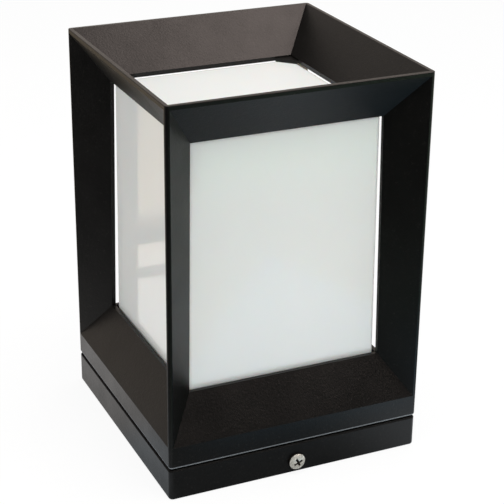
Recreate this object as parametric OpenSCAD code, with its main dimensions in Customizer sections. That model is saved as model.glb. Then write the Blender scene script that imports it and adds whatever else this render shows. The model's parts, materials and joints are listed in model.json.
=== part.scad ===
// Square post cap lantern: a bevelled cast frame round a box-shaped diffuser, on a
// skirt that drops over a folded bracket on the post. Millimetres, +Z up. The origin
// is the centre of the skirt's lower edge, and the clamp screws lie along Y.

/* [Frame] */
// Outer width of the frame, the same both ways
frame_w = 130.5; // [108:0.5:160]
// Height of the frame above the seam
frame_h = 177; // [147:1:215]
// Plan radius of the frame's corners
frame_corner_r = 1.7; // [1.5:0.1:2.5]
// Radius of the frame's lower outer edge
frame_edge_r = 1.4; // [0.6:0.1:1.4]
// Radius of the frame's top outer edge
top_edge_r = 0.4; // [0.2:0.1:0.8]
// Flat land that is left outside every bevel
land = 2; // [1.6:0.1:3]
// Plain band below the lower bevels
band_h = 11.4; // [9:0.1:14]
// Window sill above the frame's lower edge
sill_h = 31.3; // [29:0.1:38]
// Window head below the frame's top
head_drop = 23.6; // [22:0.1:30]
// Window's side edge in from the outer face, at the head
jamb_in = 17.3; // [15:0.1:21]
// Extra half width of the square core at the sill, from its draft
core_taper = 1.75; // [0.5:0.05:2.5]
// Wall of the casting round the band
frame_wall = 3; // [2.4:0.1:3.6]

/* [Frame head] */
// Depth of the funnel in the top
funnel_d = 21.2; // [18:0.1:21.8]
// Lip below the funnel in from the outer face
lip_in = 18; // [17.8:0.1:22]
// Height of the upright lip below the funnel
lip_h = 1.9; // [1.5:0.1:3]
// Leg of the triangular gusset in each corner of the lip
gusset_leg = 10; // [6:0.5:14]
// Thickness of the gussets
gusset_t = 1.2; // [1:0.1:1.8]

/* [Frame underside] */
// Lower end of the collar that guides the diffuser, above the frame's lower edge
collar_drop = 16.5; // [15:0.1:20]
// Thickness of the collar
collar_t = 2.5; // [2:0.1:3]
// Radius of the bosses for the retainer's screws
ring_boss_r = 4; // [3.5:0.1:4.2]
// Ring bosses in from the casting's inner face
ring_boss_in = 5.8; // [5.6:0.1:6.2]
// Radius of the corner bosses for the skirt's screws
skirt_boss_r = 4.5; // [4:0.1:4.8]
// Corner bosses in from the outer face
skirt_boss_in = 9.8; // [9.4:0.1:10.2]

/* [Diffuser] */
// Wall of the moulded diffuser
diffuser_wall = 2.5; // [2:0.1:3.5]
// Extra half width of the diffuser at the sill, from its draft
diffuser_taper = 1.05; // [0.4:0.05:1.5]
// Radius of its upright and top edges
diffuser_edge_r = 1.5; // [1:0.1:2]
// Thickness of the flange round its open end
flange_t = 2.5; // [2:0.1:3]
// Plan radius of the flange's corners
flange_corner_r = 8; // [6:0.5:12]

/* [Skirt] */
// Height of the skirt
skirt_h = 15.9; // [15:0.1:22]
// Skirt's face in from the frame's face
skirt_inset = 0; // [0:0.1:1]
// Plan radius of the skirt's corners
skirt_corner_r = 2.2; // [1.6:0.1:4]
// Radius of the skirt's lower outer edge
skirt_low_r = 1.2; // [0.5:0.1:1.5]
// Radius of the skirt's upper outer edge
skirt_high_r = 0.8; // [0.4:0.1:1]
// Wall of the skirt
skirt_wall = 3; // [2.4:0.1:3.4]
// Thickness of the skirt's inner flange
skirt_flange_t = 2.2; // [2.1:0.1:3]
// Open width through the inner flange
skirt_hole_w = 100; // [88:1:104]
// Open gap between skirt and frame
seam = 0.6; // [0.4:0.1:1]

/* [Side screws] */
// Height of the side screws above the lower edge
side_screw_z = 6.5; // [5.5:0.1:8]
// Head radius of the side screws
side_head_r = 4.1; // [3.6:0.1:4.4]
// Head height of the side screws
side_head_h = 2.6; // [2.2:0.1:3]
// Shank radius of the side screws
side_shank_r = 2.05; // [1.6:0.05:2.4]
// Inner boss round a side screw
side_boss_r = 5; // [4:0.1:5.5]

/* [Bracket] */
// Sheet thickness of the bracket
bracket_t = 1.8; // [1.5:0.1:2]
// Width of the bracket's four turned-down sides
bracket_side_w = 100; // [84:1:104]
// Outer bend radius of the bracket
bracket_bend_r = 2.4; // [2.2:0.1:3]
// Spacing of the holes for the post screws
post_hole_pitch = 72; // [66:1:80]
// Radius of the holes for the post screws
post_hole_r = 2.6; // [2:0.1:3]
// Bore radius of the cable grommet
cable_r = 4.5; // [3:0.1:5]

/* [Lamp and holder] */
// Outer radius of the lampholder
holder_r = 19.5; // [18:0.5:20]
// Height of the lampholder's body
holder_h = 39.4; // [36:0.1:42]
// Radius of the lamp's cap
cap_r = 13.1; // [12.9:0.05:13.2]
// Radius of the lamp's globe
globe_r = 25; // [20:0.5:28]
// Height of the white dish's floor above the bracket
dish_rise = 10.6; // [10:0.1:12]

/* [Clearances] */
// Gap between a screw and its tapped or clearance hole
screw_gap = 0.1; // [0.05:0.01:0.15]
// Gap between the diffuser and the frame's core at the head
diffuser_gap = 0.25; // [0.2:0.05:0.5]
// Gap between the skirt's guide ribs and the bracket
guide_gap = 0.4; // [0.3:0.1:0.8]
// Gap between the skirt's flange and the bracket it rests over
rest_gap = 0.3; // [0.2:0.05:0.5]
// Gap between a side screw's tip and the bracket
tip_gap = 0.3; // [0.2:0.05:0.5]
// Gap below the side screws' heads
head_gap = 0.4; // [0.2:0.1:0.8]

/* [Hidden] */

round_fn = 64;
soft_fn = 32;
edge_steps = 4;
cut = 1;
thin = 0.01;

// Heights of the frame
frame_z = skirt_h + seam;
top_z = frame_z + frame_h;
band_z = frame_z + band_h;
sill_z = frame_z + sill_h;
head_z = top_z - head_drop;
funnel_z = top_z - funnel_d;
lip_z = funnel_z - lip_h;
collar_z = frame_z + collar_drop;

// Half widths of the frame
half_w = frame_w / 2;
lip_half = half_w - lip_in;
function core_half(z) = half_w - jamb_in + core_taper * (head_z - z) / (head_z - sill_z);
band_inner = half_w - frame_wall;
collar_half = core_half(collar_z) + collar_t;

// The sill bevel's run for each unit of rise, and the casting's wall along X below it
sill_run = (half_w - core_half(sill_z) - land) / (sill_z - band_z);
bevel_wall = frame_wall * sqrt(1 + sill_run * sill_run);
ring_boss_at = band_inner - ring_boss_in;
skirt_boss_at = half_w - skirt_boss_in;

// Diffuser, with its flange hung below the collar
pad_t = 0.6;
gasket_t = 0.8;
diffuser_top_z = lip_z - pad_t;
function diffuser_half(z) =
    core_half(head_z) - diffuser_gap + diffuser_taper * (head_z - z) / (head_z - sill_z);
flange_top_z = collar_z - gasket_t;
flange_z = flange_top_z - flange_t;
flange_half = collar_half - 0.2;

// Retainer ring
ring_t = 1.5;
ring_z = flange_z - ring_t;
ring_half = flange_half + 1.8;
ring_hole_half = diffuser_half(flange_z) - diffuser_wall;
ring_tab_r = 3.3;
small_screw_r = 1.4;
small_head_r = 2.8;
small_head_h = 1.9;
ring_screw_len = 7;

// Skirt
skirt_half = half_w - skirt_inset;
skirt_inner = skirt_half - skirt_wall;
skirt_flange_z = skirt_h - skirt_flange_t;
side_boss_face = skirt_inner - 1.6;
rib_face = skirt_inner - 2.6;
rib_t = 1.6;
rib_at = 30;
base_screw_r = 1.9;
base_head_r = 3.8;
base_screw_len = 12;

// Bracket and what stands on it
bracket_half = rib_face - guide_gap;
bracket_top_z = skirt_flange_z - rest_gap;
bracket_floor_z = bracket_top_z - bracket_t;
grommet_at = -30;
grommet_lip = 0.8;
grommet_wall = 3.4;
grommet_rim = 2.4;
grommet_rim_h = 1.5;
grommet_edge_r = 0.7;
block_at = 30;
block_size = [26, 11, 9];
block_poles = 3;
block_pitch = 8;
block_tower_r = 2.4;
ground_at = 40;

// Lampholder on its strap
strap_t = 1.2;
strap_w = 16;
strap_top_half = 20;
strap_foot_half = 32;
strap_rise = 7.2;
strap_screw_at = 27;
strap_bend_r = 2;
bend_steps = 6;
nipple_r = 5;
nipple_bore_r = 3.6;
nipple_below = 6;
nipple_in = 4.8;
nut_h = 3;
holder_z = bracket_top_z + strap_rise;
holder_top_z = holder_z + holder_h;
shell_t = 0.5;
shell_gap = 0.3;
shell_r = cap_r + shell_gap + shell_t;
shell_z = holder_z + 9;

// Dish over the wiring
dish_z = bracket_top_z + dish_rise;
dish_t = 1;
dish_r = ring_hole_half - 4.3;
dish_hole_r = holder_r + 1.5;
dish_rim = 5;
standoff_in = 6;
standoff_at = (dish_r - dish_rim - standoff_in) / sqrt(2);
standoff_r = 3.2;

// Lamp
cap_z = shell_z + 2;
cap_h = 26;
housing_z = holder_top_z + 1;
housing_h = 32;
globe_z = housing_z + housing_h;

// ---------- shared shapes ----------

// Flat rectangle with round corners
module rounded_rect(w, d, r) {
    square([w - 2 * r, d], center = true);
    square([w, d - 2 * r], center = true);
    for (sx = [-1, 1])
        for (sy = [-1, 1])
            translate([sx * (w / 2 - r), sy * (d / 2 - r)]) circle(r = r, $fn = round_fn);
}

// Closed outline from the right-hand half of a symmetric section
function mirrored(half) =
    concat(half, [for (i = [len(half) - 1:-1:0]) [-half[i][0], half[i][1]]]);

// Square solid whose half width follows the section, given as [half width, height]
module square_loft(section) {
    length = 4 * half_w;
    intersection() {
        rotate([90, 0, 0])
            linear_extrude(length, center = true) polygon(mirrored(section));
        rotate([90, 0, 90])
            linear_extrude(length, center = true) polygon(mirrored(section));
    }
}

// Points along an arc in equal steps
function arc(at, r, a0, a1, steps) = [for (i = [0:steps]) let (a = a0 + (a1 - a0) * i / steps)
    at + r * [cos(a), sin(a)]];

// Square block whose upright, lower and upper edges are rounded off
module soft_block(z0, z1, half, corner_r, low_r, high_r) {
    flat = half - corner_r;
    side = concat(arc([half - low_r, z0 + low_r], low_r, -90, 0, edge_steps),
        arc([half - high_r, z1 - high_r], high_r, 0, 90, edge_steps));
    corner = concat([[0, z0]], [for (p = side) p - [flat, 0]], [[0, z1]]);
    for (a = [0, 90]) rotate([90, 0, a])
        linear_extrude(2 * flat, center = true) polygon(mirrored(side));
    four_sides() translate([flat, flat, 0]) rotate_extrude($fn = round_fn) polygon(corner);
}

// Square ring with its own inner and outer corner radii
module square_ring(z, h, outer_half, outer_r, inner_half, inner_r) {
    translate([0, 0, z]) linear_extrude(h) difference() {
        rounded_rect(2 * outer_half, 2 * outer_half, outer_r);
        rounded_rect(2 * inner_half, 2 * inner_half, inner_r);
    }
}

// The same thing on all four sides
module four_sides() {
    for (a = [0, 90, 180, 270]) rotate([0, 0, a]) children();
}

// Upright cylinder from one height to another
module post(x, y, z0, z1, r) {
    translate([x, y, z0]) cylinder(h = z1 - z0, r = r, $fn = round_fn);
}

// Domed pan head on the plane z = 0, with a cross recess, and its shank below it
module pan_screw(head_r, head_h, shank_r, shank_len) {
    rim = head_h / 2;
    dome_r = (head_r * head_r + rim * rim) / (2 * rim);
    recess_d = head_h * 0.55;
    difference() {
        intersection() {
            cylinder(h = head_h, r = head_r, $fn = round_fn);
            translate([0, 0, head_h - dome_r]) sphere(r = dome_r, $fn = round_fn);
        }
        for (a = [0, 90])
            rotate([0, 0, a]) translate([0, 0, head_h])
                cube([head_r * 1.1, head_r * 0.24, 2 * recess_d], center = true);
    }
    tip = shank_r * 0.3;
    translate([0, 0, tip - shank_len]) cylinder(h = shank_len - tip, r = shank_r, $fn = round_fn);
    translate([0, 0, -shank_len])
        cylinder(h = tip, r1 = shank_r - tip, r2 = shank_r, $fn = round_fn);
}

// Tube about Z
module tube(z, h, outer_r, inner_r) {
    translate([0, 0, z]) difference() {
        cylinder(h = h, r = outer_r, $fn = round_fn);
        translate([0, 0, -cut]) cylinder(h = h + 2 * cut, r = inner_r, $fn = round_fn);
    }
}

// ---------- lantern ----------

// Hollow under the sill bevels, round the collar
module frame_underside() {
    slope_x = half_w - bevel_wall;
    wall_z = band_z - (band_inner - slope_x) / sill_run;
    groove_z = band_z + (slope_x - collar_half) / sill_run;
    difference() {
        square_loft([[band_inner, frame_z - cut], [band_inner, wall_z], [collar_half, groove_z]]);
        translate([-collar_half, -collar_half, collar_z])
            cube([2 * collar_half, 2 * collar_half, frame_h]);
    }
}

// Cut for the window in the front: bevels all round it, then the opening itself
module window_cut() {
    face = half_w + cut;
    head_edge = core_half(head_z) + land;
    sill_edge = core_half(sill_z) + land;
    head_slope = (top_z - land - head_z) / (half_w - head_edge);
    intersection() {
        rotate([90, 0, 90]) linear_extrude(2 * frame_w, center = true) polygon([
            [-face, band_z - cut / sill_run], [-sill_edge, sill_z], [0, sill_z],
            [0, head_z], [-head_edge, head_z], [-face, top_z - land + cut * head_slope]
        ]);
        union() {
            translate([0, 0, frame_z - cut]) linear_extrude(frame_h + 2 * cut)
                polygon([[land - face, -face], [face - land, -face], [0, -land]]);
            rotate([90, 0, 0]) linear_extrude(face)
                polygon(mirrored([[core_half(sill_z), sill_z], [core_half(head_z), head_z]]));
        }
    }
}

// Corner gusset that stops the diffuser
module gusset() {
    root = lip_half + 0.5;
    leg = gusset_leg + 0.5;
    translate([0, 0, lip_z]) linear_extrude(gusset_t)
        polygon([[root, root], [root - leg, root], [root, root - leg]]);
}

module lantern_frame() {
    color("#202122") {
        difference() {
            union() {
                difference() {
                    soft_block(frame_z, top_z, half_w, frame_corner_r, frame_edge_r, top_edge_r);
                    frame_underside();
                }
                four_sides() {
                    post(ring_boss_at, 0, flange_z, sill_z, ring_boss_r);
                    post(skirt_boss_at, skirt_boss_at, skirt_h, sill_z, skirt_boss_r);
                }
            }
            four_sides() window_cut();
            translate([0, 0, flange_z - cut]) linear_extrude(collar_z - flange_z + cut)
                rounded_rect(2 * collar_half, 2 * collar_half, flange_corner_r);
            square_loft([[core_half(frame_z - cut), frame_z - cut], [core_half(sill_z), sill_z],
                [core_half(head_z), head_z], [core_half(lip_z), lip_z]]);
            square_loft([[lip_half, lip_z - cut], [lip_half, funnel_z],
                [half_w - land + cut * (half_w - land - lip_half) / funnel_d, top_z + cut]]);
            four_sides() {
                post(ring_boss_at, 0, flange_z - cut, ring_z + ring_screw_len + cut,
                    small_screw_r + screw_gap);
                post(skirt_boss_at, skirt_boss_at, skirt_h - cut,
                    skirt_flange_z + base_screw_len + 2 * cut, base_screw_r + screw_gap);
            }
        }
        four_sides() gusset();
    }
}

module corner_pads() {
    pad_half = lip_half - 0.4;
    leg = gusset_leg - 1.6;
    color("#3a3a3a") four_sides()
        translate([0, 0, diffuser_top_z]) linear_extrude(pad_t)
            polygon([[pad_half, pad_half], [pad_half - leg, pad_half], [pad_half, pad_half - leg]]);
}

// Drafted box with round edges; inset moves every face inwards
module diffuser_shape(z0, inset) {
    r = max(diffuser_edge_r - inset, 0.4);
    top = diffuser_top_z - inset;
    hull() {
        translate([0, 0, z0]) linear_extrude(thin)
            rounded_soft(diffuser_half(z0) - inset, r);
        for (a = [0, 30, 60, 90])
            translate([0, 0, top - r + r * sin(a) - thin]) linear_extrude(thin)
                rounded_soft(diffuser_half(top) - inset - r * (1 - cos(a)), r);
    }
}

module rounded_soft(half, r) {
    for (sx = [-1, 1])
        for (sy = [-1, 1])
            translate([sx * (half - r), sy * (half - r)]) circle(r = r, $fn = soft_fn);
}

module diffuser() {
    color("#f3f3ef") difference() {
        union() {
            diffuser_shape(flange_z, 0);
            translate([0, 0, flange_z]) linear_extrude(flange_t)
                rounded_rect(2 * flange_half, 2 * flange_half, flange_corner_r);
        }
        diffuser_shape(flange_z - cut, diffuser_wall);
    }
}

module flange_gasket() {
    inner = core_half(flange_top_z) + 0.1;
    color("#2b2b2b")
        square_ring(flange_top_z, gasket_t, flange_half, flange_corner_r, inner, 1);
}

module retainer_ring() {
    tab = 2 * (ring_boss_at + ring_tab_r);
    color("#b9bcbe") translate([0, 0, ring_z]) linear_extrude(ring_t) difference() {
        union() {
            rounded_rect(2 * ring_half, 2 * ring_half, flange_corner_r);
            square([tab, 4 * ring_tab_r], center = true);
            square([4 * ring_tab_r, tab], center = true);
        }
        rounded_rect(2 * ring_hole_half, 2 * ring_hole_half, 3);
        four_sides()
            translate([ring_boss_at, 0]) circle(r = small_screw_r + screw_gap, $fn = round_fn);
    }
}

module retainer_screws() {
    color("#c8c8c6") four_sides() translate([ring_boss_at, 0, ring_z]) mirror([0, 0, 1])
        pan_screw(small_head_r, small_head_h, small_screw_r, ring_screw_len);
}

// ---------- skirt ----------

// Guide rib on the inside of the skirt's right wall
module guide_rib(y) {
    translate([rib_face, y - rib_t / 2, 0])
        cube([skirt_inner - rib_face + cut / 2, rib_t, skirt_flange_z + cut / 2]);
}

module base_skirt() {
    sink_h = base_head_r - base_screw_r;
    color("#202122") difference() {
        union() {
            difference() {
                soft_block(0, skirt_h, skirt_half, skirt_corner_r, skirt_low_r, skirt_high_r);
                translate([0, 0, -cut]) linear_extrude(skirt_h + 2 * cut)
                    rounded_rect(2 * skirt_inner, 2 * skirt_inner, 1);
            }
            square_ring(skirt_flange_z, skirt_flange_t, skirt_inner + cut, 1,
                skirt_hole_w / 2, 4);
            four_sides() {
                guide_rib(rib_at);
                guide_rib(-rib_at);
            }
            for (s = [-1, 1]) rotate([s * 90, 0, 0]) translate([0, s * side_screw_z, side_boss_face])
                cylinder(h = skirt_inner - side_boss_face + cut, r = side_boss_r, $fn = round_fn);
        }
        for (s = [-1, 1]) rotate([s * 90, 0, 0]) translate([0, s * side_screw_z, side_boss_face - cut])
            cylinder(h = skirt_wall + 4 * cut, r = side_shank_r + screw_gap, $fn = round_fn);
        four_sides() {
            post(skirt_boss_at, skirt_boss_at, 0, skirt_h + cut, base_screw_r + screw_gap);
            translate([skirt_boss_at, skirt_boss_at, skirt_flange_z])
                cylinder(h = sink_h, r1 = base_head_r + screw_gap, r2 = base_screw_r + screw_gap,
                    $fn = round_fn);
        }
    }
}

module seam_gasket() {
    color("#161616") square_ring(skirt_h, seam, band_inner + 1.4, 2, band_inner - 1.6, 1);
}

module base_screws() {
    sink_h = base_head_r - base_screw_r;
    color("#c8c8c6") four_sides() translate([skirt_boss_at, skirt_boss_at, skirt_flange_z])
        difference() {
            union() {
                cylinder(h = sink_h, r1 = base_head_r, r2 = base_screw_r, $fn = round_fn);
                translate([0, 0, sink_h])
                    cylinder(h = base_screw_len - sink_h, r = base_screw_r, $fn = round_fn);
            }
            for (a = [45, 135]) rotate([0, 0, a])
                cube([base_head_r * 1.1, 0.9, 2 * sink_h * 0.6], center = true);
        }
}

// Side screw in the front wall; its tip stops short of the bracket
module side_screw() {
    seat = skirt_half + head_gap;
    color("#d9d7d2") translate([0, -seat, side_screw_z]) rotate([90, 45, 0])
        pan_screw(side_head_r, side_head_h, side_shank_r, seat - bracket_half - tip_gap);
}

module side_screw_front() {
    side_screw();
}

module side_screw_back() {
    rotate([0, 0, 180]) side_screw();
}

// ---------- bracket ----------

// Section of a folded channel: flat top, two turned-down sides, round bends
module channel_section() {
    inner_half = bracket_half - bracket_t;
    inner_r = bracket_bend_r - bracket_t;
    difference() {
        round_top(bracket_half, bracket_top_z, bracket_bend_r, 0);
        round_top(inner_half, bracket_floor_z, inner_r, cut);
    }
}

// Upright rectangle from below the base line up to a height, with two round top corners
module round_top(half, top, r, below) {
    translate([-half, -below]) square([2 * half, top - r + below]);
    translate([r - half, -below]) square([2 * (half - r), top + below]);
    for (s = [-1, 1]) translate([s * (half - r), top - r]) circle(r = r, $fn = round_fn);
}

module mount_bracket() {
    pitch = post_hole_pitch / 2;
    color("#aeb1b3") difference() {
        union() {
            rotate([90, 0, 0])
                linear_extrude(bracket_side_w, center = true) channel_section();
            rotate([90, 0, 90])
                linear_extrude(bracket_side_w, center = true) channel_section();
        }
        translate([0, 0, -cut]) linear_extrude(bracket_floor_z + cut)
            square(2 * (bracket_half - bracket_t), center = true);
        for (sx = [-1, 1])
            for (sy = [-1, 1]) plate_hole(sx * pitch, sy * pitch, post_hole_r);
        plate_hole(0, grommet_at, cable_r + grommet_wall + screw_gap);
        plate_hole(ground_at, 0, small_screw_r + 0.6 + screw_gap);
        for (s = [-1, 1]) {
            plate_hole(s * strap_screw_at, 0, small_screw_r + screw_gap);
            plate_hole(s * standoff_at, -s * standoff_at, small_screw_r + screw_gap);
        }
    }
}

// Hole through the bracket's top plate
module plate_hole(x, y, r) {
    post(x, y, bracket_floor_z - cut, bracket_top_z + cut, r);
}

module cable_grommet() {
    color("#1c1c1c") translate([0, grommet_at, 0]) rotate_extrude($fn = round_fn) {
        translate([cable_r, bracket_floor_z - grommet_lip])
            square([grommet_wall, bracket_t + grommet_lip]);
        translate([cable_r, bracket_top_z])
            square([grommet_wall + grommet_rim - grommet_edge_r, grommet_rim_h]);
        translate([cable_r, bracket_top_z])
            square([grommet_wall + grommet_rim, grommet_rim_h - grommet_edge_r]);
        translate([cable_r + grommet_wall + grommet_rim - grommet_edge_r,
            bracket_top_z + grommet_rim_h - grommet_edge_r])
            circle(r = grommet_edge_r, $fn = round_fn);
    }
}

module ground_screw() {
    color("#2f8f4a") translate([ground_at, 0, bracket_top_z])
        pan_screw(4, 2.4, small_screw_r + 0.6, bracket_t);
}

module terminal_block() {
    color("#e8e6df") difference() {
        union() {
            translate([-block_size[0] / 2, block_at - block_size[1] / 2, bracket_top_z])
                cube([block_size[0], block_size[1], block_size[2] * 0.4]);
            for (i = [0:block_poles - 1]) {
                translate([pole_x(i) - 3, block_at - block_size[1] / 2, bracket_top_z])
                    cube([6, block_size[1], block_size[2] * 0.65]);
                for (s = [-1, 1])
                    post(pole_x(i), block_at + s * 3, bracket_top_z, bracket_top_z + block_size[2],
                        block_tower_r);
            }
        }
        for (i = [0:block_poles - 1]) {
            translate([pole_x(i), block_at, bracket_top_z + 3]) rotate([90, 0, 0])
                cylinder(h = 2 * block_size[1], r = 1.5, center = true, $fn = round_fn);
            for (s = [-1, 1])
                post(pole_x(i), block_at + s * 3, bracket_top_z + 4.5,
                    bracket_top_z + block_size[2] + cut, 1.7);
        }
    }
}

function pole_x(i) = (i - (block_poles - 1) / 2) * block_pitch;

module terminal_screws() {
    screw_top = bracket_top_z + block_size[2] - 0.8;
    color("#c8c8c6") for (i = [0:block_poles - 1]) for (s = [-1, 1])
        difference() {
            post(pole_x(i), block_at + s * 3, bracket_top_z + 4.6, screw_top, 1.6);
            translate([pole_x(i), block_at + s * 3, screw_top])
                cube([4, 0.5, 1.2], center = true);
        }
}

// Right-hand half of the strap's section, bent from one sheet: top, side and foot
function strap_section() =
    let (outer = strap_bend_r, inner = strap_bend_r - strap_t,
        top_bend = [strap_top_half - outer, strap_rise - outer],
        foot_bend = [strap_top_half + inner, outer])
    concat(arc(top_bend, outer, 90, 0, bend_steps), arc(foot_bend, inner, 180, 270, bend_steps),
        [[strap_foot_half, strap_t], [strap_foot_half, 0]],
        arc(foot_bend, outer, 270, 180, bend_steps), arc(top_bend, inner, 0, 90, bend_steps));

module holder_strap() {
    color("#b9bcbe") difference() {
        translate([0, 0, bracket_top_z]) rotate([90, 0, 0])
            linear_extrude(strap_w, center = true) polygon(mirrored(strap_section()));
        post(0, 0, bracket_top_z, holder_z + cut, nipple_r + screw_gap);
        for (s = [-1, 1])
            post(s * strap_screw_at, 0, bracket_top_z - cut, bracket_top_z + strap_t + cut,
                small_screw_r + screw_gap);
    }
}

module strap_screws() {
    color("#c8c8c6") for (s = [-1, 1])
        translate([s * strap_screw_at, 0, bracket_top_z + strap_t])
            pan_screw(small_head_r, small_head_h, small_screw_r, strap_t + bracket_t);
}

module holder_nipple() {
    color("#c9a24a")
        tube(holder_z - nipple_below, nipple_below + nipple_in, nipple_r, nipple_bore_r);
}

module holder_nut() {
    across = 14;
    edge = 0.45;
    flat_r = across / 2 + 0.2;
    color("#c9a24a") translate([0, 0, holder_z - strap_t - nut_h]) difference() {
        intersection() {
            cylinder(h = nut_h, r = across / 2 / cos(30), $fn = 6);
            rotate_extrude($fn = round_fn) polygon([
                [0, 0], [flat_r, 0], [flat_r + 2 * edge, edge], [flat_r + 2 * edge, nut_h - edge],
                [flat_r, nut_h], [0, nut_h]
            ]);
        }
        translate([0, 0, -cut])
            cylinder(h = nut_h + 2 * cut, r = nipple_r + screw_gap, $fn = round_fn);
    }
}

module lampholder_body() {
    foot_r = 12;
    flare_h = 6.4;
    floor_h = 7;
    lip = 0.8;
    color("#f1efe8") translate([0, 0, holder_z]) difference() {
        rotate_extrude($fn = round_fn) polygon([
            [0, 0], [foot_r, 0], [holder_r, flare_h], [holder_r, holder_h - 5],
            [holder_r + lip, holder_h - 4], [holder_r + lip, holder_h - 1],
            [holder_r, holder_h], [0, holder_h]
        ]);
        translate([0, 0, floor_h])
            cylinder(h = holder_h, r = shell_r + screw_gap, $fn = round_fn);
        translate([0, 0, -cut])
            cylinder(h = nipple_in + 0.2 + cut, r = nipple_r + screw_gap, $fn = round_fn);
        post(0, 0, 0, floor_h + cut, nipple_bore_r);
    }
}

module lampholder_shell() {
    color("#caa75a") {
        tube(holder_z + 7, holder_h - 9, shell_r, shell_r - shell_t);
        tube(holder_z + 7, shell_t, shell_r - shell_t / 2, 7);
    }
}

module lampholder_contact() {
    color("#b8863b") {
        translate([0, 0, holder_z + 7]) cylinder(h = 0.8, r = 4, $fn = round_fn);
        translate([0, 0, holder_z + 7.8]) cylinder(h = 1.4, r1 = 3, r2 = 1.6, $fn = round_fn);
    }
}

module reflector_dish() {
    rim_z = dish_z + dish_rim;
    color("#f7f7f4") difference() {
        rotate_extrude($fn = round_fn) polygon([
            [dish_hole_r, dish_z], [dish_r - dish_rim, dish_z], [dish_r, rim_z],
            [dish_r - dish_t, rim_z + 0.4], [dish_r - dish_rim - 0.4, dish_z + dish_t],
            [dish_hole_r, dish_z + dish_t]
        ]);
        for (s = [-1, 1])
            post(s * standoff_at, -s * standoff_at, dish_z - cut, dish_z + dish_t + cut,
                small_screw_r + screw_gap);
    }
}

module dish_standoffs() {
    color("#c9a24a") for (s = [-1, 1])
        translate([s * standoff_at, -s * standoff_at, 0]) {
            difference() {
                translate([0, 0, bracket_top_z])
                    cylinder(h = dish_rise, r = standoff_r, $fn = 6);
                post(0, 0, dish_z - 6, dish_z + cut, small_screw_r + screw_gap);
            }
            post(0, 0, bracket_floor_z + 0.2, bracket_top_z, small_screw_r);
        }
}

module dish_screws() {
    color("#c8c8c6") for (s = [-1, 1])
        translate([s * standoff_at, -s * standoff_at, dish_z + dish_t])
            pan_screw(small_head_r, small_head_h, small_screw_r, 5.5);
}

// ---------- lamp ----------

module lamp_cap() {
    neck_r = 10;
    color("#c4c6c8") rotate_extrude($fn = round_fn) polygon([
        [7, cap_z], [neck_r, cap_z + 2], [cap_r, cap_z + 5], [cap_r, cap_z + cap_h],
        [cap_r - 0.5, cap_z + cap_h], [cap_r - 0.5, cap_z + 5.4],
        [neck_r - 0.3, cap_z + 2.5], [7, cap_z + 0.6]
    ]);
}

module lamp_contact() {
    glass_z = cap_z - 0.4;
    color("#6b5a3a") {
        translate([0, 0, glass_z]) cylinder(h = 1.4, r = 7, $fn = round_fn);
        translate([0, 0, glass_z - 1.2]) cylinder(h = 1.2, r1 = 2.6, r2 = 4, $fn = round_fn);
    }
}

module lamp_housing() {
    color("#eceae4") rotate_extrude($fn = round_fn) polygon([
        [0, cap_z + 6.2], [cap_r - 0.5, cap_z + 6.2], [cap_r - 0.5, cap_z + cap_h],
        [cap_r, cap_z + cap_h], [cap_r + 1, housing_z], [cap_r + 2.4, housing_z + 2],
        [globe_r - 4, globe_z - 6], [globe_r - 1, globe_z], [0, globe_z]
    ]);
}

module lamp_globe() {
    rise = sqrt(globe_r * globe_r - (globe_r - 1) * (globe_r - 1));
    color("#fbfbf7") difference() {
        translate([0, 0, globe_z + rise]) sphere(r = globe_r, $fn = round_fn);
        translate([0, 0, globe_z + rise]) sphere(r = globe_r - 1.2, $fn = round_fn);
        translate([0, 0, globe_z - 2 * globe_r]) cylinder(h = 2 * globe_r, r = 2 * globe_r,
            $fn = round_fn);
    }
}

lantern_frame();
corner_pads();
diffuser();
flange_gasket();
retainer_ring();
retainer_screws();
base_skirt();
seam_gasket();
base_screws();
side_screw_front();
side_screw_back();
mount_bracket();
cable_grommet();
ground_screw();
terminal_block();
terminal_screws();
holder_strap();
strap_screws();
holder_nipple();
holder_nut();
lampholder_body();
lampholder_shell();
lampholder_contact();
reflector_dish();
dish_standoffs();
dish_screws();
lamp_cap();
lamp_contact();
lamp_housing();
lamp_globe();
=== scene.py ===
"""Looks for a square post cap lantern: satin black castings, a glossy opal diffuser and
the hardware inside. Metres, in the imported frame: +Z up, -Y is the front, the origin is
the centre of the skirt's lower edge. Sizes below are in millimetres, times MM."""
import json
import math
from collections import namedtuple

import bmesh
import bpy
from mathutils import Matrix, Vector


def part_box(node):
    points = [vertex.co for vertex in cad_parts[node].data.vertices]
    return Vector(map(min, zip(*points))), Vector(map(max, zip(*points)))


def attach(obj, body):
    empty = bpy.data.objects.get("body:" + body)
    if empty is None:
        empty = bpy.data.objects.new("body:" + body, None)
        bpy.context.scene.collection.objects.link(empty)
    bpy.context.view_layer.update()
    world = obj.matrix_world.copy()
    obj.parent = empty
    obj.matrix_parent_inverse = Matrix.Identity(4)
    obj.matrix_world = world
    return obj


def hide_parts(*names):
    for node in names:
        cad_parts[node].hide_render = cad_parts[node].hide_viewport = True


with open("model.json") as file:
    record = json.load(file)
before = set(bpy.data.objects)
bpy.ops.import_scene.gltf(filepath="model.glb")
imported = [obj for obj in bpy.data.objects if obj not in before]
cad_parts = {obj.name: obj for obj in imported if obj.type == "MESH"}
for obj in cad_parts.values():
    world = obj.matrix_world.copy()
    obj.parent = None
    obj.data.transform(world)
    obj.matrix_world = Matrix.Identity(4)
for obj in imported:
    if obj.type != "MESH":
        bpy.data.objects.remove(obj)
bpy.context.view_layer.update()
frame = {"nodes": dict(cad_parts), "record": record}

MM = 0.001
SCENE = bpy.context.scene
RIGHT, BACK, LEFT, UP = (1, 0, 0), (0, 1, 0), (-1, 0, 0), (0, 0, 1)

# ---------- camera, as the photograph was taken ----------

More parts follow.
